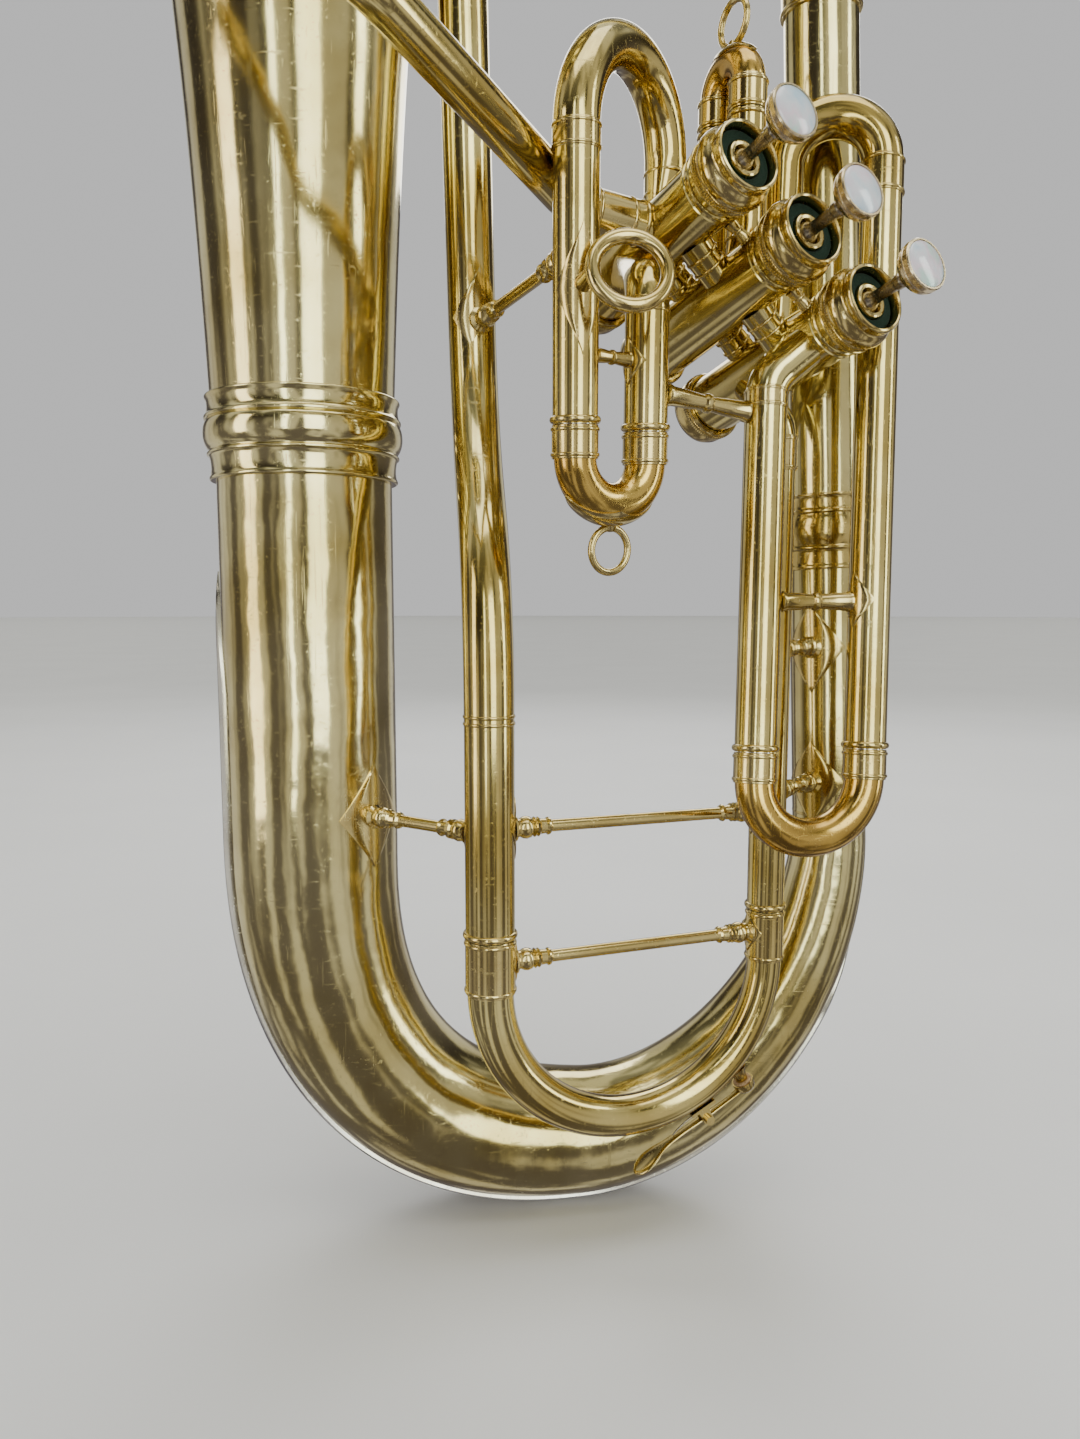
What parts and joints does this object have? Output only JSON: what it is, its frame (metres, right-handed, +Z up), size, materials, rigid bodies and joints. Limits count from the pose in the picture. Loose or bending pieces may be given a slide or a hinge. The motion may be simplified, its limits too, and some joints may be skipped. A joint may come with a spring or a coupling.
{
  "type": "tenor tuba",
  "caption": "Upright front-action valved brass horn with a flared bell, large bottom bow, sprung piston valves, pull-out tuning slides, a water key and a removable mouthpiece.",
  "frame": {"origin": "lowest point of the guard under the bottom bow, on the horn's middle lines", "axes": "+Z up along the bell, +Y away from the side that the valve buttons face, +X to the right when the buttons face the viewer"},
  "size_m": [0.4169, 0.277, 0.68],
  "materials": {
    "lacquered_brass": "polished and lacquered yellow brass",
    "nickel": "polished nickel silver",
    "silver": "polished silver plate",
    "piston_alloy": "lapped nickel alloy",
    "button_brass": "pale polished brass",
    "pearl": "domed mother-of-pearl disc",
    "felt": "dark green pressed felt",
    "cork": null,
    "spring_steel": "plain spring wire"
  },
  "bodies": {
    "horn": {"bell": "lacquered_brass", "bell_ferrule": "lacquered_brass", "bottom_bow": "lacquered_brass", "bow_guard": "nickel", "right_branch": "lacquered_brass", "right_branch_ferrule": "lacquered_brass", "top_bow": "lacquered_brass", "left_branch": "lacquered_brass", "main_slide_left_leg": "lacquered_brass", "main_slide_right_leg": "lacquered_brass", "leg_brace": "lacquered_brass", "valve_casing_1": "lacquered_brass", "top_cap_1": "nickel", "bottom_cap_1": "nickel", "valve_casing_2": "lacquered_brass", "top_cap_2": "nickel", "bottom_cap_2": "nickel", "valve_casing_3": "lacquered_brass", "top_cap_3": "nickel", "bottom_cap_3": "nickel", "valve_port_1_2": "lacquered_brass", "valve_port_2_3": "lacquered_brass", "first_slide_crook": "lacquered_brass", "first_slide_elbow": "lacquered_brass", "second_slide_front_leg": "lacquered_brass", "second_slide_rear_leg": "lacquered_brass", "third_slide_crook": "lacquered_brass", "third_slide_elbow": "lacquered_brass", "thumb_ring": "lacquered_brass", "leadpipe": "lacquered_brass", "mouthpiece_receiver": "lacquered_brass", "bell_brace": "lacquered_brass", "branch_brace": "lacquered_brass", "slide_brace": "lacquered_brass", "first_slide_brace": "lacquered_brass", "third_slide_brace": "lacquered_brass", "valve_spring_1": "spring_steel", "valve_spring_2": "spring_steel", "valve_spring_3": "spring_steel"},
    "valve_1": {"piston_1": "piston_alloy", "stem_felt_1": "felt", "finger_button_1": "button_brass", "button_pearl_1": "pearl"},
    "valve_2": {"piston_2": "piston_alloy", "stem_felt_2": "felt", "finger_button_2": "button_brass", "button_pearl_2": "pearl"},
    "valve_3": {"piston_3": "piston_alloy", "stem_felt_3": "felt", "finger_button_3": "button_brass", "button_pearl_3": "pearl"},
    "main_slide": {"main_slide_bow": "lacquered_brass", "water_key_saddle": "lacquered_brass", "water_key_spring": "spring_steel"},
    "water_key": {"water_key_lever": "lacquered_brass", "water_key_cork": "cork"},
    "first_slide": {"first_slide_bow": "lacquered_brass"},
    "second_slide": {"second_slide_bow": "lacquered_brass"},
    "third_slide": {"third_slide_bow": "lacquered_brass"},
    "mouthpiece": {"mouthpiece": "silver"}
  },
  "joints": [
    {"name": "valve_1_stroke", "type": "slide", "parent": "horn", "child": "valve_1", "axis": [-0.4801, 0.8417, -0.2469], "range_m": [0, 0.017], "stiffness_N_per_m": 80, "springref_m": -0.02, "deforming": ["valve_spring_1"]},
    {"name": "valve_2_stroke", "type": "slide", "parent": "horn", "child": "valve_2", "axis": [-0.4801, 0.8417, -0.2469], "range_m": [0, 0.017], "stiffness_N_per_m": 80, "springref_m": -0.02, "deforming": ["valve_spring_2"]},
    {"name": "valve_3_stroke", "type": "slide", "parent": "horn", "child": "valve_3", "axis": [-0.4801, 0.8417, -0.2469], "range_m": [0, 0.017], "stiffness_N_per_m": 80, "springref_m": -0.02, "deforming": ["valve_spring_3"]},
    {"name": "main_slide_pull", "type": "slide", "parent": "horn", "child": "main_slide", "axis": [0, 0, -1], "range_m": [0, 0.06]},
    {"name": "water_key_turn", "type": "hinge", "parent": "main_slide", "child": "water_key", "pos_m": [0.05626, -0.03684, 0.05634], "axis": [-0.3247, 0.9458, 0], "range_deg": [0, 12], "stiffness_Nm_per_rad": 0.08, "springref_deg": -28.65, "deforming": ["water_key_spring"]},
    {"name": "first_slide_pull", "type": "slide", "parent": "horn", "child": "first_slide", "axis": [0.002, 0.0896, -0.996], "range_m": [0, 0.035]},
    {"name": "second_slide_pull", "type": "slide", "parent": "horn", "child": "second_slide", "axis": [0, 0, 1], "range_m": [0, 0.028]},
    {"name": "third_slide_pull", "type": "slide", "parent": "horn", "child": "third_slide", "axis": [-0.03, -0.113, -0.9931], "range_m": [0, 0.075]},
    {"name": "mouthpiece_pull", "type": "slide", "parent": "horn", "child": "mouthpiece", "axis": [-0.8625, 0.2853, 0.418], "range_m": [0, 0.03]}
  ]
}
